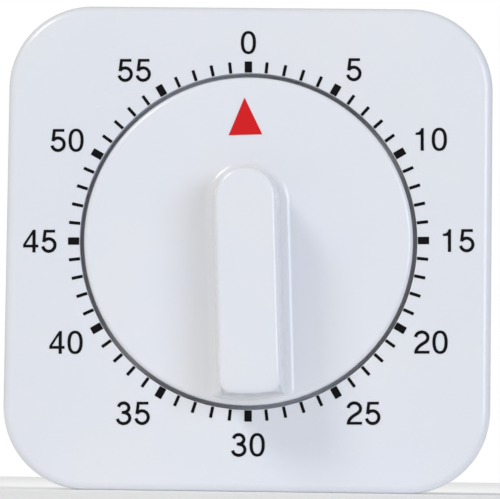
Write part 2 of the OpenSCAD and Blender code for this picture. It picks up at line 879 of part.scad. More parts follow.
front_case();
rear_cover();
case_screws();
magnets();
dial_knob();
pointer_mark();
minute_marks();
numerals();
main_arbor();
spring_hub();
mainspring();
spring_post();
front_plate();
rear_plate();
pillars();
pillar_nuts();
movement_screws();
main_wheel();
clutch_washer();
clutch_collar();
alarm_cam();
second_pinion();
second_wheel();
third_pinion();
third_wheel();
escape_pinion();
escape_wheel();
pallet_arbor();
pallet_lever();
pallet_pins();
balance_staff();
balance_wheel();
balance_roller();
impulse_pin();
hairspring();
hairspring_stud();
strike_pinion();
star_wheel();
hammer_stud();
hammer_lever();
hammer_head();
hammer_spring();
bell_post();
bell();
bell_screw();
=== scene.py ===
"""A wind-up sixty minute lab timer: case, turning knob, dial print and clockwork, in a soft white studio."""
import json
import math

import bmesh
import bpy
from bpy.props import FloatProperty, FloatVectorProperty, IntProperty, PointerProperty
from mathutils import Matrix, Vector


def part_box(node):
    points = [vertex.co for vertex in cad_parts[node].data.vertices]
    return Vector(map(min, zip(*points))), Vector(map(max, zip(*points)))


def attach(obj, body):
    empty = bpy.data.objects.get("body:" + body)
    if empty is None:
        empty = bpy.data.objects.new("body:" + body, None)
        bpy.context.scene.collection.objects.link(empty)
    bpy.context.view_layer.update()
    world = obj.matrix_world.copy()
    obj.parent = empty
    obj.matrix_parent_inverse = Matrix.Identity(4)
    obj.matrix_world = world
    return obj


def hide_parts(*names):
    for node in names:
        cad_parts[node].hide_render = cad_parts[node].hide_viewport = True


bl_info = {
    "name": "Lab timer",
    "version": (1, 0, 0),
    "blender": (4, 5, 0),
    "location": "View3D > Sidebar > Timer",
    "description": "Builds a wind-up lab timer, piece by piece, around its packed frame",
    "category": "Add Mesh",
}

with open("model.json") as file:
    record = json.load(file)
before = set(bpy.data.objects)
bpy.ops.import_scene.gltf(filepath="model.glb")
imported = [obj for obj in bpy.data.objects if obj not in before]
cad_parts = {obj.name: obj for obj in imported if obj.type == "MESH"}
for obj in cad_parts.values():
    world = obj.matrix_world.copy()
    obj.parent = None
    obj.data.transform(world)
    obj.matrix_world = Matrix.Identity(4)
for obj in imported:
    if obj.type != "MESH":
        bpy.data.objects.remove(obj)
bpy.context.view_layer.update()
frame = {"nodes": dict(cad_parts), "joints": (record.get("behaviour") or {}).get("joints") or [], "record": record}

MM = 0.001
JOINTS = {j["name"]: j for j in frame["joints"]}
AXIS = Vector(JOINTS["knob_turn"]["pos_m"])
CASE_LOW, CASE_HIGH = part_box("front_case")
COVER_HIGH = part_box("rear_cover")[1]
KNOB_LOW, KNOB_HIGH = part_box("dial_knob")
FACE_Y = CASE_LOW.y

# Sizes that come from the frame, in millimetres, measured in dial coordinates:
# x to the right, y towards the zero mark, z out of the dial, with z = 0 at the case's face.
CASE_HALF = (CASE_HIGH.x - CASE_LOW.x) / 2 / MM
CASE_DROP = (AXIS.z - (CASE_LOW.z + CASE_HIGH.z) / 2) / MM
SEAM_Z = -(CASE_HIGH.y - FACE_Y) / MM
BACK_Z = -(COVER_HIGH.y - FACE_Y) / MM
KNOB_R = (KNOB_HIGH.x - KNOB_LOW.x) / 2 / MM
GRIP_TOP = (FACE_Y - KNOB_LOW.y) / MM
STEM_Z = -(KNOB_HIGH.y - FACE_Y) / MM
# Turns dial coordinates into the frame: out of the dial is towards -Y
DIAL = (Matrix.Translation((AXIS.x, FACE_Y, AXIS.z)) @ Matrix.Rotation(math.pi / 2, 4, "X")
        @ Matrix.Scale(MM, 4))

# Small sizes that several pieces share, in millimetres
SEAM_BEVEL = 0.22
SEAM_EASE_IN, SEAM_EASE_UP = 0.05, 0.06
SCREW_INSET = 8
SCREW_PLACE = CASE_HALF - SCREW_INSET
SCREW_CENTRES = [(x, y - CASE_DROP) for x in (-SCREW_PLACE, SCREW_PLACE) for y in (-SCREW_PLACE, SCREW_PLACE)]
SCREW_SINK = 1.6
MAGNET_PLACE = 22
MAGNET_RISE = 16
MAGNET_SINK = 1.8
HUB_HOLE_R = 3.2


# ---------------------------------------------------------------- settings

class CaseSettings(bpy.types.PropertyGroup):
    """Sizes of the moulded case, in millimetres."""
    corner: FloatProperty(name="Corner radius", description="Radius of the corners", default=12.8, min=5)
    edge: FloatProperty(name="Edge radius", description="Radius of the outer edges", default=1.4, min=0.2)
    wall: FloatProperty(name="Wall", description="Thickness of the case's walls", default=2.0, min=1)
    recess: FloatProperty(name="Recess radius", description="Radius of the knob's recess", default=26.05)
    recess_depth: FloatProperty(name="Recess depth", description="Depth of the recess", default=3.2)
    pan: FloatProperty(name="Pan floor", description="Thickness of the recess's floor", default=1.6)
    colour: FloatVectorProperty(name="Plastic", description="Colour of the case", subtype="COLOR", size=3,
                                default=(0.81, 0.82, 0.86), min=0, max=1)


class KnobSettings(bpy.types.PropertyGroup):
    """Sizes of the knob, in millimetres."""
    proud: FloatProperty(name="Disc height", description="Height of the disc over the case", default=0.4)
    rim: FloatProperty(name="Rim radius", description="Rounding of the disc's rim", default=0.8)
    grip_width: FloatProperty(name="Grip width", description="Width of the grip's flat top", default=9.3)
    draft: FloatProperty(name="Draft", description="How far each side leans out", default=0.5)
    grip_edge: FloatProperty(name="Grip edge", description="Rounding of the grip's top edge", default=0.7)
    fillet: FloatProperty(name="Base fillet", description="Hollow rounding at the grip's base", default=1.7)
    reach: FloatProperty(name="Grip reach", description="From the centre to the grip's head", default=10.6)
    turned: FloatProperty(name="Rest angle", description="Turn of the knob at rest, in degrees", default=2.2)
    colour: FloatVectorProperty(name="Plastic", description="Colour of the knob", subtype="COLOR", size=3,
                                default=(0.82, 0.83, 0.87), min=0, max=1)


class DialSettings(bpy.types.PropertyGroup):
    """Sizes of the printed dial, in millimetres."""
    marks: IntProperty(name="Marks", description="Minute marks round the dial", default=60, min=12)
    inner: FloatProperty(name="Inner radius", description="Where the marks start", default=26.11)
    outer: FloatProperty(name="Outer radius", description="Where the marks end", default=27.85)
    thin: FloatProperty(name="Thin mark", description="Width of a minute mark", default=0.48)
    bold: FloatProperty(name="Bold mark", description="Width of a five minute mark", default=1.14)
    ink: FloatProperty(name="Ink", description="Thickness of the printed ink", default=0.05)
    turned: FloatProperty(name="Print angle", description="Turn of the print, in degrees", default=0.7)


class StageSettings(bpy.types.PropertyGroup):
    """The camera."""
    distance: FloatProperty(name="Camera distance", description="From the dial to the camera", default=0.48,
                            unit="LENGTH")
    side: FloatProperty(name="Camera side", description="Degrees right of the dial's axis", default=1.8)
    under: FloatProperty(name="Camera drop", description="Degrees below the dial's axis", default=4.2)
    roll: FloatProperty(name="Camera roll", description="Degrees that the camera is tilted", default=0.75)
    span: FloatProperty(name="Frame width", description="Width seen at the dial", default=0.07708,
                        unit="LENGTH")
    aim: FloatVectorProperty(name="Aim", description="Right of and above the dial's centre", size=2,
                             default=(0.00029, -0.00134), unit="LENGTH", precision=5)


# ---------------------------------------------------------------- shader maths

class Wire:
    """A socket whose arithmetic adds Math nodes."""

    def __init__(self, kit, socket):
        self.kit = kit
        self.socket = socket

    def _math(self, operation, *values):
        return self.kit.node("ShaderNodeMath", {"operation": operation}, values)

    def __add__(self, other):
        return self._math("ADD", self, other)

    def __radd__(self, other):
        return self._math("ADD", other, self)

    def __sub__(self, other):
        return self._math("SUBTRACT", self, other)

    def __rsub__(self, other):
        return self._math("SUBTRACT", other, self)

    def __mul__(self, other):
        return self._math("MULTIPLY", self, other)

    def __rmul__(self, other):
        return self._math("MULTIPLY", other, self)

    def __gt__(self, other):
        return self._math("GREATER_THAN", self, other)

    def __lt__(self, other):
        return self._math("LESS_THAN", self, other)


class Finish:
    """A material under construction: one Principled shader and the nodes that feed it."""

    def __init__(self, name, **constants):
        self.material = bpy.data.materials.new(name)
        self.material.use_nodes = True
        self.nodes = self.material.node_tree.nodes
        self.links = self.material.node_tree.links
        self.shader = self.nodes["Principled BSDF"]
        for socket, value in constants.items():
            self.shader.inputs[socket.replace("_", " ")].default_value = value

    def node(self, kind, settings=(), inputs=(), output=0):
        """Adds a node: its settings first, then its sockets by place or by name."""
        node = self.nodes.new(kind)
        for key, value in dict(settings).items():
            setattr(node, key, value)
        named = inputs.items() if isinstance(inputs, dict) else enumerate(inputs)
        for key, value in named:
            if isinstance(value, Wire):
                self.links.new(value.socket, node.inputs[key])
            elif value is not None:
                node.inputs[key].default_value = value
        return Wire(self, node.outputs[output])

    def place(self, centre=(0, 0, 0), scale=(1, 1, 1)):
        """Object coordinates, moved so that centre is the origin, then stretched by scale."""
        at = self.node("ShaderNodeTexCoord", output="Object")
        moved = self.node("ShaderNodeVectorMath", {"operation": "SUBTRACT"}, [at, centre])
        return self.node("ShaderNodeMapping", {}, {"Vector": moved, "Scale": scale})

    def noise(self, vector, scale, detail, roughness=0.5):
        return self.node("ShaderNodeTexNoise", {}, {"Vector": vector, "Scale": scale, "Detail": detail,
                                                    "Roughness": roughness})

    def ramp(self, value, *stops):
        """A colour ramp: each stop is a place and a colour or a grey."""
        wire = self.node("ShaderNodeValToRGB", {}, [value])
        ramp = wire.socket.node.color_ramp
        for i, (at, shade) in enumerate(stops):
            stop = ramp.elements[i] if i < 2 else ramp.elements.new(at)
            stop.position = at
            stop.color = (shade, shade, shade, 1) if isinstance(shade, (int, float)) else (*shade, 1)
        return wire

    def mix(self, factor, a, b):
        """Mixes two colours."""
        node = self.node("ShaderNodeMix", {"data_type": "RGBA"}).socket.node
        for socket, value in zip((node.inputs[0], node.inputs[6], node.inputs[7]), (factor, a, b)):
            if isinstance(value, Wire):
                self.links.new(value.socket, socket)
            else:
                socket.default_value = (*value, 1) if isinstance(value, (tuple, list)) else value
        return Wire(self, node.outputs[2])

    def feed(self, socket, value):
        self.links.new(value.socket, self.shader.inputs[socket])

    def bump(self, height, strength, distance, below=None):
        """A Bump node, on top of the bump below it if there is one. The distance is in metres."""
        inputs = {"Height": height, "Strength": strength, "Distance": distance}
        if below:
            inputs["Normal"] = below
        return self.node("ShaderNodeBump", {}, inputs)


def tinted(colour, factor):
    """The colour with each channel scaled."""
    return tuple(min(1, c * f) for c, f in zip(colour, factor))


# ---------------------------------------------------------------- materials

def moulded_plastic(name, colour, gloss, grain):
    """Injection moulded plastic: faint cloudiness, a fine orange peel and slight handling wear."""
    fin = Finish(name, Specular_IOR_Level=0.5, Coat_Roughness=0.08)
    at = fin.place()
    cloud = fin.noise(at, scale=60, detail=2)
    patch = fin.noise(at, scale=22, detail=1)
    warm = tinted(colour, (1.0, 1.0, 0.985))
    cool = tinted(colour, (0.975, 0.985, 1.0))
    body = fin.mix(fin.ramp(cloud, (0.35, 0), (0.7, 1)), warm, cool)
    green = tinted(colour, (0.975, 0.99, 0.985))
    fin.feed("Base Color", fin.mix(fin.ramp(patch, (0.45, 0), (0.8, 0.5)), body, green))
    smear = fin.noise(at, scale=90, detail=4, roughness=0.6)
    scuff = fin.noise(fin.place(scale=(1, 1, 9)), scale=700, detail=2)
    fin.feed("Roughness", gloss + 0.10 * smear + 0.015 * (scuff > 0.66))
    fin.feed("Coat Weight", 0.35 - 0.2 * smear)
    peel = fin.noise(at, scale=grain, detail=2)
    sink = fin.noise(at, scale=45, detail=1)
    hollows = fin.bump(sink, strength=0.35, distance=6e-5)
    fin.feed("Normal", fin.bump(peel, strength=0.25, distance=6e-6, below=hollows))
    return fin.material


def printed_ink(name, colour, edge):
    """Pad printed ink: dense, slightly uneven in gloss, with a few pale pin holes."""
    fin = Finish(name, Specular_IOR_Level=0.1)
    at = fin.place()
    density = fin.noise(at, scale=900, detail=3)
    holes = fin.noise(at, scale=5200, detail=1) > 0.78
    base = fin.mix(fin.ramp(density, (0.3, 0), (0.75, 1)), colour, edge)
    fin.feed("Base Color", fin.mix(0.35 * holes, base, tinted(edge, (1.6, 1.6, 1.6))))
    fin.feed("Roughness", 0.45 + 0.2 * density)
    fin.feed("Normal", fin.bump(density, strength=0.3, distance=5e-6))
    return fin.material


def drawn_metal(name, colour, dark, rough, grain=(1, 1, 1), scale=2600):
    """Worked metal: a directional grain, a cloudy tarnish and small scratches."""
    fin = Finish(name, Metallic=1.0)
    at = fin.place(scale=grain)
    lines = fin.noise(at, scale=scale, detail=3, roughness=0.65)
    tarnish = fin.noise(fin.place(), scale=160, detail=4, roughness=0.6)
    shade = fin.mix(fin.ramp(tarnish, (0.35, 0), (0.75, 1)), colour, dark)
    fin.feed("Base Color", fin.mix(0.25 * lines, shade, tinted(colour, (1.12, 1.12, 1.12))))
    fin.feed("Roughness", rough + 0.16 * lines + 0.12 * tarnish)
    fin.feed("Normal", fin.bump(lines, strength=0.3, distance=4e-6))
    return fin.material


def turned_metal(name, colour, dark, rough, centre):
    """Metal turned on a lathe: fine rings about its own axis, which runs front to back."""
    fin = Finish(name, Metallic=1.0)
    at = fin.place(centre)
    flat = fin.node("ShaderNodeVectorMath", {"operation": "MULTIPLY"}, [at, (1, 0, 1)])
    radius = fin.node("ShaderNodeVectorMath", {"operation": "LENGTH"}, [flat], output="Value")
    wobble = fin.noise(at, scale=300, detail=2)
    rings = fin.node("ShaderNodeMath", {"operation": "SINE"}, [radius * 42000 + 3 * wobble]) * 0.5 + 0.5
    tarnish = fin.noise(fin.place(), scale=200, detail=4, roughness=0.6)
    fin.feed("Base Color", fin.mix(fin.ramp(tarnish, (0.3, 0), (0.8, 1)), colour, dark))
    fin.feed("Roughness", rough + 0.08 * rings + 0.12 * tarnish)
    fin.feed("Normal", fin.bump(rings, strength=0.25, distance=3e-6))
    return fin.material


def ferrite():
    """Sintered magnet: near black, finely granular, with paler ground patches."""
    fin = Finish("ferrite_magnet", Specular_IOR_Level=0.5)
    at = fin.place()
    grit = fin.noise(at, scale=3800, detail=4, roughness=0.7)
    ground = fin.noise(fin.place(scale=(1, 1, 6)), scale=500, detail=3)
    shade = 0.6 * grit + 0.4 * ground
    fin.feed("Base Color", fin.ramp(shade, (0.3, (0.018, 0.018, 0.02)), (0.75, (0.07, 0.07, 0.075))))
    fin.feed("Roughness", 0.5 + 0.25 * grit)
    fin.feed("Metallic", 0.35 * ground)
    fin.feed("Normal", fin.bump(grit, strength=0.5, distance=1.2e-5))
    return fin.material


def table_top():
    """A pale, faintly mottled studio surface, which glows a little more behind the timer than before it."""
    fin = Finish("studio_floor", Roughness=0.7, Specular_IOR_Level=0.3, Emission_Strength=0.35)
    at = fin.place()
    depth = fin.node("ShaderNodeSeparateXYZ", {}, [at], output="Y")
    fin.feed("Emission Color", fin.ramp(8 * depth, (0.1, 0.3), (0.9, 1.0)))
    mottle = fin.noise(at, scale=9, detail=3)
    fin.feed("Base Color", fin.ramp(mottle, (0.2, (0.90, 0.90, 0.905)), (0.8, (0.93, 0.93, 0.93))))
    return fin.material


# ---------------------------------------------------------------- mesh helpers

def arc(cx, cy, r, start, stop, steps):
    """Points on an arc, angles in degrees, both ends kept."""
    return [(cx + r * math.cos(math.radians(start + (stop - start) * i / steps)),
             cy + r * math.sin(math.radians(start + (stop - start) * i / steps))) for i in range(steps + 1)]


def add_ring(bm, points, z):
    """Vertices for one ring at height z."""
    return [bm.verts.new((x, y, z)) for x, y in points]


def join_rings(bm, a, b):
    """A band of quads between two closed rings of the same count."""
    n = len(a)
    for i in range(n):
        j = (i + 1) % n
        bm.faces.new((a[i], a[j], b[j], b[i]))


def loft(bm, rings, closed=False):
    """Rings are (points, z); the band between each pair is filled, and on a closed loft the last band too."""
    made = [add_ring(bm, points, z) for points, z in rings]
    for a, b in zip(made, made[1:]):
        join_rings(bm, a, b)
    if closed:
        join_rings(bm, made[-1], made[0])
    return made


def rounded_square(half, corner, drop, side_steps=48, corner_steps=24):
    """A square with round corners, centred a little below the dial's centre."""
    points = []
    inner = half - corner
    for k, (sx, sy) in enumerate(((1, 1), (-1, 1), (-1, -1), (1, -1))):
        start = 90 * k
        curve = arc(sx * inner, sy * inner, corner, start, start + 90, corner_steps)
        points += curve
        tx, ty = (-sx, 0) if k % 2 == 0 else (0, -sy)
        last = curve[-1]
        points += [(last[0] + tx * 2 * inner * i / side_steps, last[1] + ty * 2 * inner * i / side_steps)
                   for i in range(1, side_steps)]
    return [(x, y - drop) for x, y in points]


def circle_like(points, r):
    """A circle about the dial's centre with one point on the way to each given point."""
    return [(r * x / math.hypot(x, y), r * y / math.hypot(x, y)) for x, y in points]


def circle_at(cx, cy, r, steps=48):
    return [(cx + r * math.cos(2 * math.pi * i / steps), cy + r * math.sin(2 * math.pi * i / steps))
            for i in range(steps)]


def slot_at(cx, cy, length, width, grow=0.0):
    """A level slot with round ends. The length is between the centres of its ends."""
    r = width / 2 + grow
    return ([(cx + x, cy + y) for x, y in arc(length / 2, 0, r, -90, 90, 12)]
            + [(cx + x, cy + y) for x, y in arc(-length / 2, 0, r, 90, 270, 12)])


def fill_face(bm, loops):
    """Fills the flat region between an outer loop and the loops inside it."""
    edges = []
    for loop in loops:
        for i, v in enumerate(loop):
            w = loop[(i + 1) % len(loop)]
            edges.append(bm.edges.get((v, w)) or bm.edges.new((v, w)))
    bmesh.ops.triangle_fill(bm, use_beauty=True, use_dissolve=False, edges=edges)


def smooth_by_angle(mesh, degrees):
    """Shades the mesh smooth, but for edges sharper than the angle."""
    mesh.polygons.foreach_set("use_smooth", [True] * len(mesh.polygons))
    mesh.set_sharp_from_angle(angle=math.radians(degrees))


def to_object(name, bm, material, matrix=DIAL, smooth=40):
    """Closes up a bmesh built in dial coordinates and puts it in the frame as a finished piece."""
    bmesh.ops.remove_doubles(bm, verts=bm.verts, dist=1e-4)
    bmesh.ops.recalc_face_normals(bm, faces=bm.faces)
    mesh = bpy.data.meshes.new(name)
    bm.to_mesh(mesh)
    bm.free()
    mesh.transform(matrix)
    smooth_by_angle(mesh, smooth)
    mesh.materials.append(material)
    piece = bpy.data.objects.new(name, mesh)
    bpy.context.scene.collection.objects.link(piece)
    return piece


def settle(piece, body, slot, *nodes):
    """Rides a piece on its body and hides the CAD nodes that it stands for. The slot is not used."""
    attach(piece, body)
    if nodes:
        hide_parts(*nodes)


def refinish(node, material):
    """Gives a node that is kept from the frame its material."""
    materials = frame["nodes"][node].data.materials
    materials.clear()
    materials.append(material)


def quarter(steps):
    """Angles from nothing to a quarter turn, both ends kept."""
    return [math.pi / 2 * i / steps for i in range(steps + 1)]


def fillet_rings(outline, r, steps=12):
    """Rings that round an edge: outline(inset) gives the ring, from the flat top at 0 down to the side."""
    return [(outline(r * (1 - math.sin(a))), -r * (1 - math.cos(a))) for a in quarter(steps)]


# ---------------------------------------------------------------- the case

class TIMER_OT_case(bpy.types.Operator):
    """Front shell, with the recess for the knob"""
    bl_idname = "timer.case"
    bl_label = "Front shell"

    def execute(self, context):
        cfg = context.scene.timer_case
        plastic = moulded_plastic("case_plastic", cfg.colour, gloss=0.2, grain=2600)

        def outline(inset):
            return rounded_square(CASE_HALF - inset, cfg.corner - inset, CASE_DROP)

        guide = outline(0)
        floor = -cfg.recess_depth
        lip = 0.1
        root = 0.6
        hole_edge = 0.15
        rings = [(circle_like(guide, HUB_HOLE_R), floor - cfg.pan),
                 (circle_like(guide, HUB_HOLE_R), floor - hole_edge),
                 (circle_like(guide, HUB_HOLE_R + hole_edge), floor)]
        for a in quarter(6):
            rings.append((circle_like(guide, cfg.recess - root + root * math.sin(a)),
                          floor + root * (1 - math.cos(a))))
        for a in quarter(5):
            rings.append((circle_like(guide, cfg.recess + lip * (1 - math.cos(a))), -lip + lip * math.sin(a)))
        rings += fillet_rings(outline, cfg.edge)
        rings += [(outline(0), SEAM_Z + SEAM_BEVEL), (outline(SEAM_EASE_IN), SEAM_Z + SEAM_EASE_UP),
                  (outline(SEAM_BEVEL), SEAM_Z), (outline(cfg.wall), SEAM_Z), (outline(cfg.wall), -cfg.wall),
                  (circle_like(guide, cfg.recess + cfg.pan), -cfg.wall),
                  (circle_like(guide, cfg.recess + cfg.pan), floor - cfg.pan)]
        bm = bmesh.new()
        loft(bm, rings, closed=True)
        post_r, hole_r = 3.4, 1.1
        post_end, hole_end = SEAM_Z + 0.1, -12
        profile = ((post_r, -cfg.wall), (post_r, post_end), (hole_r, post_end), (hole_r, hole_end))
        for x, y in SCREW_CENTRES:
            post = loft(bm, [(circle_at(x, y, r, 32), z) for r, z in profile])
            bm.faces.new(post[0])
            bm.faces.new(post[-1])
        shell = to_object("case_shell", bm, plastic)
        settle(shell, "case", "case_plastic", "front_case")
        return {"FINISHED"}


class TIMER_OT_cover(bpy.types.Operator):
    """Rear cover, with its sound slots, screw sinks and magnet pockets"""
    bl_idname = "timer.cover"
    bl_label = "Rear cover"

    def execute(self, context):
        cfg = context.scene.timer_case
        darker = tinted(cfg.colour, (0.985, 0.985, 0.985))
        plastic = moulded_plastic("cover_plastic", darker, gloss=0.3, grain=1800)
        cover_t = 2.4
        floor = BACK_Z + cover_t
        seam_gap = 0.02

        def outline(inset):
            return rounded_square(CASE_HALF - inset, cfg.corner - inset, CASE_DROP)

        bm = bmesh.new()
        inside = add_ring(bm, outline(cfg.wall), floor)
        outer = loft(bm, [(outline(cfg.wall), SEAM_Z - seam_gap), (outline(SEAM_BEVEL), SEAM_Z - seam_gap),
                          (outline(SEAM_EASE_IN), SEAM_Z - seam_gap - SEAM_EASE_UP),
                          (outline(0), SEAM_Z - SEAM_BEVEL)]
                     + [(ring, BACK_Z - z) for ring, z in reversed(fillet_rings(outline, cfg.edge))])
        join_rings(bm, inside, outer[0])
        back = outer[-1]
        screw_sink_r, magnet_sink_r = 2.7, 5.1
        sinks = []
        for x, y in SCREW_CENTRES:
            sinks.append((lambda grow, x=x, y=y: circle_at(x, y, screw_sink_r + grow, 40),
                          BACK_Z + SCREW_SINK))
        for x in (-MAGNET_PLACE, MAGNET_PLACE):
            sinks.append((lambda grow, x=x: circle_at(x, MAGNET_RISE - CASE_DROP, magnet_sink_r + grow, 64),
                          BACK_Z + MAGNET_SINK))
        slot_y, slot_pitch, slot_length, slot_width = -8, 3.6, 20, 1.6
        vents = []
        for i in range(-3, 4):
            y = slot_y + slot_pitch * i - CASE_DROP
            vents.append(lambda grow, y=y: slot_at(0, y, slot_length, slot_width, grow))

        def sink_in(shape, edge, ease, bottom):
            """A hole from the back face down to bottom, with a softened edge."""
            return loft(bm, [(shape(edge), BACK_Z), (shape(ease), BACK_Z + ease), (shape(0), BACK_Z + edge),
                             (shape(0), bottom)])

        loops = [back]
        for shape, bottom in sinks:
            made = sink_in(shape, 0.18, 0.05, bottom)
            bm.faces.new(made[-1])
            loops.append(made[0])
        inner_loops = [inside]
        for shape in vents:
            made = sink_in(shape, 0.25, 0.07, floor)
            loops.append(made[0])
            inner_loops.append(made[-1])
        fill_face(bm, loops)
        fill_face(bm, inner_loops)
        shell = to_object("cover_shell", bm, plastic)
        settle(shell, "case", "case_plastic", "rear_cover")
        return {"FINISHED"}


# ---------------------------------------------------------------- the knob

def grip_outline(width, tail, corner, head_y, spread):
    """The grip seen from the front: a round head, straight sides and a tail that follows the disc's rim."""
    cx = width - corner
    cy = -math.sqrt((tail - corner) ** 2 - cx ** 2)
    turn = math.degrees(math.atan2(cy, cx))
    head = arc(0, head_y, width, 0, 180, 44)
    left = [(-width, head_y + (cy - head_y) * s) for s in spread]
    left_corner = arc(-cx, cy, corner, 180, 180 - turn, 10)
    rim = arc(0, 0, tail, 180 - turn, 360 + turn, 24)
    right_corner = arc(cx, cy, corner, turn, 0, 10)
    right = [(width, cy + (head_y - cy) * (1 - s)) for s in reversed(spread)]
    return head + left + left_corner + rim[1:-1] + right_corner + right


class TIMER_OT_knob(bpy.types.Operator):
    """Turning knob: a disc with a raised finger grip"""
    bl_idname = "timer.knob"
    bl_label = "Knob"

    def execute(self, context):
        cfg = context.scene.timer_knob
        plastic = moulded_plastic("knob_plastic", cfg.colour, gloss=0.16, grain=3000)
        half = cfg.grip_width / 2
        head_y = cfg.reach - half
        skirt = 1.6
        base_y = -math.sqrt((KNOB_R - skirt) ** 2 - half ** 2)
        top_angle, low_angle = math.atan2(head_y, half), math.atan2(base_y, half)
        steps = 60
        spread = []
        for i in range(1, steps):
            y = half * math.tan(top_angle + (low_angle - top_angle) * i / steps)
            spread.append((y - head_y) / (base_y - head_y))
        flat_r = KNOB_R - cfg.rim
        wall_top = GRIP_TOP - cfg.grip_edge
        wall_low = cfg.proud + cfg.fillet
        tail_top, tail_low, tail_end = flat_r - 0.9, flat_r - 0.2, flat_r - 0.05
        tail_roll = 4.0
        soft_corner, foot_corner = 1.9, 0.7

        def level(width, tail, z, corner):
            return grip_outline(width, tail, corner, head_y, spread), z

        rings = []
        for a in quarter(8):
            inset = cfg.grip_edge * (1 - math.sin(a))
            rings.append(level(half - inset, tail_top - tail_roll * inset,
                               GRIP_TOP - cfg.grip_edge * (1 - math.cos(a)), soft_corner - inset))
        for i in range(1, 9):
            t = i / 8
            rings.append(level(half + cfg.draft * t, tail_top + (tail_low - tail_top) * t,
                               wall_top + (wall_low - wall_top) * t,
                               soft_corner + (foot_corner - soft_corner) * t))
        for a in quarter(10)[1:]:
            out = 1 - math.cos(a)
            rings.append(level(half + cfg.draft + cfg.fillet * out, tail_low + (tail_end - tail_low) * out,
                               wall_low - cfg.fillet * math.sin(a), foot_corner))
        guide = rings[-1][0]
        for a in quarter(8):
            rings.append((circle_like(guide, flat_r + cfg.rim * math.sin(a)),
                          cfg.proud - cfg.rim * (1 - math.cos(a))))
        web = cfg.proud - skirt
        skirt_end, skirt_edge = -2.8, 0.15
        stem_r, bore_r, bore_end = 2.9, 2.05, 6.0
        profile = ((KNOB_R, skirt_end + skirt_edge), (KNOB_R - skirt_edge, skirt_end),
                   (KNOB_R - skirt, skirt_end), (KNOB_R - skirt, web), (stem_r, web), (stem_r, STEM_Z),
                   (bore_r, STEM_Z), (bore_r, bore_end))
        rings += [(circle_like(guide, r), z) for r, z in profile]
        bm = bmesh.new()
        made = loft(bm, rings)
        crown = made[0]
        crown_y = -7
        for share in (0.66, 0.33):
            points = [(v.co.x * share, (v.co.y - crown_y) * (0.5 + share / 2) + crown_y) for v in made[0]]
            inner = add_ring(bm, points, GRIP_TOP)
            join_rings(bm, crown, inner)
            crown = inner
        fill_face(bm, [crown])
        bm.faces.new(made[-1])
        turned = DIAL @ Matrix.Rotation(math.radians(cfg.turned), 4, "Z")
        knob = to_object("turning_knob", bm, plastic, turned, smooth=50)
        settle(knob, "knob", "knob_plastic", "dial_knob")
        return {"FINISHED"}


# ---------------------------------------------------------------- geometry nodes

class Tree:
    """A geometry node tree under construction, with named inputs."""

    def __init__(self, name, **inputs):
        self.group = bpy.data.node_groups.new(name, "GeometryNodeTree")
        self.group.interface.new_socket("Geometry", in_out="OUTPUT", socket_type="NodeSocketGeometry")
        self.values = {}
        for key, value in inputs.items():
            kind = {int: "NodeSocketInt", float: "NodeSocketFloat"}.get(type(value))
            if kind is None:
                kind = "NodeSocketMaterial" if isinstance(value, bpy.types.Material) else "NodeSocketObject"
            item = self.group.interface.new_socket(key, in_out="INPUT", socket_type=kind)
            self.values[key] = (item.identifier, value)
        self.source = self.group.nodes.new("NodeGroupInput")

    def take(self, key):
        return self.source.outputs[key]

    def add(self, kind, settings=(), **inputs):
        """Adds a node. An input is named by its socket, or i0, i1 ... where the sockets share a name."""
        node = self.group.nodes.new(kind)
        for key, value in dict(settings).items():
            setattr(node, key, value)
        for key, value in inputs.items():
            numbered = key[0] == "i" and key[1:].isdigit()
            socket = node.inputs[int(key[1:]) if numbered else key.replace("_", " ")]
            if isinstance(value, bpy.types.NodeSocket):
                self.group.links.new(value, socket)
            elif isinstance(value, (list, tuple)) and value and isinstance(value[0], bpy.types.NodeSocket):
                for v in value:
                    self.group.links.new(v, socket)
            else:
                socket.default_value = value
        return node

    def math(self, operation, *values):
        numbered = {f"i{i}": value for i, value in enumerate(values)}
        return self.add("ShaderNodeMath", {"operation": operation}, **numbered).outputs[0]

    def vector(self, x=0.0, y=0.0, z=0.0):
        return self.add("ShaderNodeCombineXYZ", X=x, Y=y, Z=z).outputs[0]

    def bake(self, name, geometry, matrix=DIAL):
        """Realizes the instances, sets the material and turns the result into a plain piece."""
        real = self.add("GeometryNodeRealizeInstances", Geometry=geometry).outputs[0]
        done = self.add("GeometryNodeSetMaterial", Geometry=real, Material=self.take("Material")).outputs[0]
        out = self.group.nodes.new("NodeGroupOutput")
        self.group.links.new(done, out.inputs[0])
        carrier = bpy.data.objects.new(name, bpy.data.meshes.new(name))
        bpy.context.scene.collection.objects.link(carrier)
        modifier = carrier.modifiers.new("build", "NODES")
        modifier.node_group = self.group
        for identifier, value in self.values.values():
            modifier[identifier] = value
        bpy.context.view_layer.update()
        graph = bpy.context.evaluated_depsgraph_get()
        mesh = bpy.data.meshes.new_from_object(carrier.evaluated_get(graph))
        carrier.modifiers.remove(modifier)
        carrier.data = mesh
        mesh.name = name
        mesh.transform(matrix)
        return carrier


# ---------------------------------------------------------------- the dial print

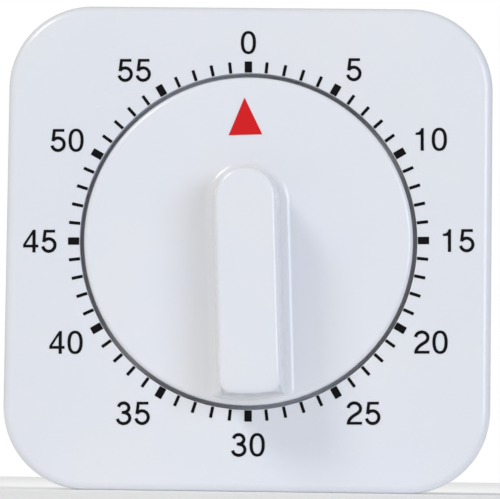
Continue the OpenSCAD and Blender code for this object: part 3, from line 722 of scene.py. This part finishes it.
class TIMER_OT_marks(bpy.types.Operator):
    """The ring of minute marks, with every fifth one bold"""
    bl_idname = "timer.marks"
    bl_label = "Minute marks"

    def execute(self, context):
        cfg = context.scene.timer_dial
        ink = printed_ink("black_ink", colour=(0.002, 0.002, 0.003), edge=(0.004, 0.004, 0.005))
        tree = Tree("minute_ring", Count=cfg.marks, Inner=cfg.inner, Outer=cfg.outer, Thin=cfg.thin,
                    Bold=cfg.bold, Ink=cfg.ink, Corner=0.08, Material=ink)
        middle = tree.math("MULTIPLY", tree.math("ADD", tree.take("Inner"), tree.take("Outer")), 0.5)
        length = tree.math("SUBTRACT", tree.take("Outer"), tree.take("Inner"))
        ring = tree.add("GeometryNodeMeshCircle", Vertices=tree.take("Count"), Radius=middle).outputs[0]
        index = tree.add("GeometryNodeInputIndex").outputs[0]
        step = tree.math("DIVIDE", 2 * math.pi, tree.take("Count"))
        turn = tree.vector(z=tree.math("MULTIPLY", index, step))
        marks_per_bold = 5.0
        fifth = tree.math("LESS_THAN", tree.math("MODULO", index, marks_per_bold), 0.5)
        other = tree.math("SUBTRACT", 1.0, fifth)

        def bar(width):
            shape = tree.add("GeometryNodeCurvePrimitiveQuadrilateral", Width=length, Height=width).outputs[0]
            round_corner = tree.add("GeometryNodeFilletCurve", {"mode": "POLY"}, Curve=shape, Count=4,
                                    Radius=tree.take("Corner")).outputs[0]
            face = tree.add("GeometryNodeFillCurve", {"mode": "NGONS"}, Curve=round_corner).outputs[0]
            top = tree.add("GeometryNodeExtrudeMesh", Mesh=face, Offset=tree.vector(z=1.0),
                           Offset_Scale=tree.take("Ink"), Individual=False).outputs[0]
            under = tree.add("GeometryNodeFlipFaces", Mesh=face).outputs[0]
            both = tree.add("GeometryNodeJoinGeometry", Geometry=[top, under]).outputs[0]
            return tree.add("GeometryNodeMergeByDistance", Geometry=both, Distance=0.0005).outputs[0]

        placed = [tree.add("GeometryNodeInstanceOnPoints", Points=ring, Selection=chosen, Rotation=turn,
                           Instance=bar(tree.take(width))).outputs[0]
                  for chosen, width in ((fifth, "Bold"), (other, "Thin"))]
        turned = DIAL @ Matrix.Rotation(math.radians(cfg.turned), 4, "Z")
        ring = tree.add("GeometryNodeJoinGeometry", Geometry=placed).outputs[0]
        marks = tree.bake("minute_ring", ring, turned)
        settle(marks, "case", "black_ink", "minute_marks")
        refinish("numerals", ink)
        return {"FINISHED"}


class TIMER_OT_pointer(bpy.types.Operator):
    """The red pointer printed on the knob"""
    bl_idname = "timer.pointer"
    bl_label = "Pointer"

    def execute(self, context):
        ink = printed_ink("red_ink", colour=(0.72, 0.012, 0.014), edge=(0.66, 0.016, 0.02))
        refinish("pointer_mark", ink)
        return {"FINISHED"}


# ---------------------------------------------------------------- the back

class TIMER_OT_fixings(bpy.types.Operator):
    """Cover screws and magnets, at the back"""
    bl_idname = "timer.fixings"
    bl_label = "Screws and magnets"

    def execute(self, context):
        self.screws()
        self.magnets()
        return {"FINISHED"}

    def screws(self):
        zinc = drawn_metal("zinc_plate", (0.62, 0.63, 0.66), dark=(0.42, 0.43, 0.46), rough=0.24, scale=1400)
        bm = bmesh.new()
        shank_r, shank_end = 1.05, -11.5
        head_r, head, sink = 2.5, 1.1, 0.75
        profile = ((shank_r, shank_end), (shank_r, 0), (head_r, 0), (head_r, head - 0.25),
                   (head_r - 0.08, head - 0.08), (head_r - 0.25, head))
        rings = [(circle_at(0, 0, r, 40), z) for r, z in profile]
        made = loft(bm, rings)
        bm.faces.new(made[0])
        slot_half, slot_w = 1.35, 0.24
        cross = []
        for k in range(4):
            c, s = math.cos(math.pi / 2 * k), math.sin(math.pi / 2 * k)
            for x, y in ((slot_w, -slot_w), (slot_half, -slot_w * 0.8), (slot_half, slot_w * 0.8),
                         (slot_w, slot_w)):
                cross.append((c * x - s * y, s * x + c * y))
        cross = [p for i, p in enumerate(cross) if math.dist(p, cross[i - 1]) > 1e-6]
        recess = loft(bm, [(cross, head), ([(x * 0.6, y * 0.6) for x, y in cross], head - sink)])
        bm.faces.new(recess[-1])
        fill_face(bm, [made[-1], recess[0]])
        pattern = to_object("screw_pattern", bm, zinc, Matrix.Identity(4), 35)
        tree = Tree("cover_screws", Spacing=2 * SCREW_PLACE, Screw=pattern, Material=zinc)
        corners = tree.add("GeometryNodeMeshGrid", Size_X=tree.take("Spacing"), Size_Y=tree.take("Spacing"),
                           Vertices_X=2, Vertices_Y=2).outputs[0]
        shape = tree.add("GeometryNodeObjectInfo", Object=tree.take("Screw")).outputs["Geometry"]
        index = tree.add("GeometryNodeInputIndex").outputs[0]
        slot_step = 0.7
        turn = tree.vector(x=math.pi, z=tree.math("MULTIPLY", index, slot_step))
        put = tree.add("GeometryNodeInstanceOnPoints", Points=corners, Instance=shape,
                       Rotation=turn).outputs[0]
        moved = tree.add("GeometryNodeTransform", Geometry=put,
                         Translation=(0, -CASE_DROP, BACK_Z + SCREW_SINK)).outputs[0]
        screws = tree.bake("cover_screw_set", moved)
        bpy.data.objects.remove(pattern)
        smooth_by_angle(screws.data, 35)
        settle(screws, "case", "screw_steel", "case_screws")

    def magnets(self):
        bm = bmesh.new()
        disc_r, top = 5, 2.0
        profile = ((disc_r - 0.2, 0), (disc_r, 0.2), (disc_r, top - 0.22), (disc_r - 0.06, top - 0.07),
                   (disc_r - 0.22, top), (0.6, top), (0.4, top - 0.05))
        rings = [(circle_at(0, 0, r, 64), z) for r, z in profile]
        made = loft(bm, rings)
        bm.faces.new(made[0])
        bm.faces.new(made[-1])
        stuff = ferrite()
        pattern = to_object("magnet_pattern", bm, stuff, Matrix.Identity(4), 40)
        tree = Tree("magnet_pair", Spacing=2.0 * MAGNET_PLACE, Magnet=pattern, Material=stuff)
        left = tree.vector(x=tree.math("MULTIPLY", tree.take("Spacing"), -0.5))
        right = tree.vector(x=tree.math("MULTIPLY", tree.take("Spacing"), 0.5))
        pair = tree.add("GeometryNodeMeshLine", {"mode": "END_POINTS"}, Count=2, Start_Location=left,
                        Offset=right).outputs[0]
        shape = tree.add("GeometryNodeObjectInfo", Object=tree.take("Magnet")).outputs["Geometry"]
        put = tree.add("GeometryNodeInstanceOnPoints", Points=pair, Instance=shape,
                       Rotation=(math.pi, 0, 0)).outputs[0]
        moved = tree.add("GeometryNodeTransform", Geometry=put,
                         Translation=(0, MAGNET_RISE - CASE_DROP, BACK_Z + MAGNET_SINK)).outputs[0]
        magnets = tree.bake("magnet_discs", moved)
        bpy.data.objects.remove(pattern)
        smooth_by_angle(magnets.data, 40)
        settle(magnets, "case", "magnet", "magnets")


# ---------------------------------------------------------------- the clockwork

class TIMER_OT_clockwork(bpy.types.Operator):
    """Finishes for the plates, wheels, springs and bell inside"""
    bl_idname = "timer.clockwork"
    bl_label = "Clockwork finishes"

    def execute(self, context):
        slots = {s["node"]: s["material_slot"] for s in frame["record"]["subparts"]}
        shared = {
            "plate_steel": drawn_metal("plate_steel", (0.6, 0.6, 0.58), dark=(0.46, 0.46, 0.45), rough=0.26,
                                       grain=(8, 1, 1)),
            "spring_steel": drawn_metal("blued_steel", (0.10, 0.14, 0.27), dark=(0.16, 0.13, 0.2), rough=0.22,
                                        grain=(1, 8, 1)),
            "bell_nickel": turned_metal("bell_nickel", (0.74, 0.73, 0.70), dark=(0.6, 0.59, 0.56), rough=0.12,
                                        centre=self.middle("bell")),
        }
        for node, slot in slots.items():
            if slot == "brass":
                finish = turned_metal(f"brass_{node}", (0.83, 0.60, 0.24), dark=(0.62, 0.42, 0.16), rough=0.2,
                                      centre=self.middle(node))
            elif slot == "steel":
                finish = turned_metal(f"steel_{node}", (0.62, 0.63, 0.65), dark=(0.48, 0.49, 0.52),
                                      rough=0.18, centre=self.middle(node))
            else:
                finish = shared.get(slot)
            if finish:
                refinish(node, finish)
        return {"FINISHED"}

    @staticmethod
    def middle(node):
        """The centre of a node's box."""
        low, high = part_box(node)
        return tuple((low + high) / 2)


# ---------------------------------------------------------------- the stage

class TIMER_OT_stage(bpy.types.Operator):
    """Pale floor, soft light and the camera"""
    bl_idname = "timer.stage"
    bl_label = "Stage"

    def execute(self, context):
        cfg = context.scene.timer_stage
        self.floor()
        self.world(context.scene)
        middle = Vector((0, 0, AXIS.z))
        self.softbox("right_light", middle, offset=(0.72, -1.0, 0.15), size=0.55, power=4.8,
                     colour=(0.745, 0.805, 1.0))
        self.softbox("left_light", middle, offset=(-0.66, -0.65, 0.82), size=0.35, power=4.7,
                     colour=(1.0, 0.955, 0.91))
        self.camera(context.scene, cfg)
        context.scene.view_settings.view_transform = "Standard"
        return {"FINISHED"}

    @staticmethod
    def floor():
        bm = bmesh.new()
        floor_r = 4.0
        bmesh.ops.create_circle(bm, cap_ends=True, segments=96, radius=floor_r)
        mesh = bpy.data.meshes.new("studio_floor")
        bm.to_mesh(mesh)
        bm.free()
        mesh.materials.append(table_top())
        floor = bpy.data.objects.new("studio_floor", mesh)
        bpy.context.scene.collection.objects.link(floor)

    @staticmethod
    def world(scene):
        """A soft dome, brighter in front of the dial. The camera itself sees plain white."""
        world = bpy.data.worlds.new("studio")
        scene.world = world
        world.use_nodes = True
        tree = world.node_tree
        background = tree.nodes["Background"]
        where = tree.nodes.new("ShaderNodeTexCoord")
        parts = tree.nodes.new("ShaderNodeSeparateXYZ")
        front = tree.nodes.new("ShaderNodeMapRange")
        front.inputs["From Min"].default_value = 0
        front.inputs["From Max"].default_value = -1
        dome = tree.nodes.new("ShaderNodeValToRGB")
        dome.color_ramp.elements[0].color = (0.39, 0.402, 0.397, 1)
        dome.color_ramp.elements[1].color = (0.545, 0.56, 0.554, 1)
        seen = tree.nodes.new("ShaderNodeLightPath")
        pick = tree.nodes.new("ShaderNodeMix")
        pick.data_type = "RGBA"
        pick.inputs["B"].default_value = (1.0, 1.0, 1.0, 1)
        tree.links.new(where.outputs["Generated"], parts.inputs[0])
        tree.links.new(parts.outputs["Y"], front.inputs["Value"])
        tree.links.new(front.outputs[0], dome.inputs[0])
        tree.links.new(seen.outputs["Is Camera Ray"], pick.inputs["Factor"])
        tree.links.new(dome.outputs[0], pick.inputs["A"])
        tree.links.new(pick.outputs["Result"], background.inputs["Color"])

    @staticmethod
    def softbox(name, target, offset, size, power, colour):
        """A square light that faces the target."""
        light = bpy.data.lights.new(name, "AREA")
        light.shape = "SQUARE"
        light.size = size
        light.energy = power
        light.color = colour
        lamp = bpy.data.objects.new(name, light)
        lamp.location = target + Vector(offset)
        lamp.rotation_euler = (-Vector(offset)).to_track_quat("-Z", "Y").to_euler()
        bpy.context.scene.collection.objects.link(lamp)

    @staticmethod
    def camera(scene, cfg):
        side, under = math.radians(cfg.side), math.radians(cfg.under)
        target = Vector((cfg.aim[0], FACE_Y, AXIS.z + cfg.aim[1]))
        back = Vector((math.sin(side) * math.cos(under), -math.cos(side) * math.cos(under), -math.sin(under)))
        sensor = 36
        lens = bpy.data.cameras.new("view_camera")
        lens.sensor_width = sensor
        lens.lens = sensor * cfg.distance / cfg.span
        lens.clip_start = 0.01
        lens.clip_end = 20
        camera = bpy.data.objects.new("view_camera", lens)
        camera.location = target + back * cfg.distance
        facing = (-back).to_track_quat("-Z", "Y").to_matrix()
        camera.rotation_euler = (facing @ Matrix.Rotation(math.radians(cfg.roll), 3, "Z")).to_euler()
        scene.collection.objects.link(camera)
        scene.camera = camera


# ---------------------------------------------------------------- the add-on

OPERATORS = (TIMER_OT_stage, TIMER_OT_case, TIMER_OT_cover, TIMER_OT_knob, TIMER_OT_marks, TIMER_OT_pointer,
             TIMER_OT_fixings, TIMER_OT_clockwork)


class TIMER_PT_panel(bpy.types.Panel):
    """Buttons for each piece of the timer"""
    bl_idname = "TIMER_PT_panel"
    bl_label = "Lab timer"
    bl_space_type = "VIEW_3D"
    bl_region_type = "UI"
    bl_category = "Timer"

    def draw(self, context):
        for operator in OPERATORS:
            self.layout.operator(operator.bl_idname)


GROUPS = {"timer_case": CaseSettings, "timer_knob": KnobSettings, "timer_dial": DialSettings,
          "timer_stage": StageSettings}


def register():
    for group in GROUPS.values():
        bpy.utils.register_class(group)
    for operator in OPERATORS:
        bpy.utils.register_class(operator)
    bpy.utils.register_class(TIMER_PT_panel)
    for name, group in GROUPS.items():
        setattr(bpy.types.Scene, name, PointerProperty(type=group))


def unregister():
    for name in GROUPS:
        delattr(bpy.types.Scene, name)
    bpy.utils.unregister_class(TIMER_PT_panel)
    for operator in reversed(OPERATORS):
        bpy.utils.unregister_class(operator)
    for group in GROUPS.values():
        bpy.utils.unregister_class(group)


def main():
    register()
    for operator in OPERATORS:
        group, name = operator.bl_idname.split(".")
        getattr(getattr(bpy.ops, group), name)()


if __name__ == "__main__":
    main()
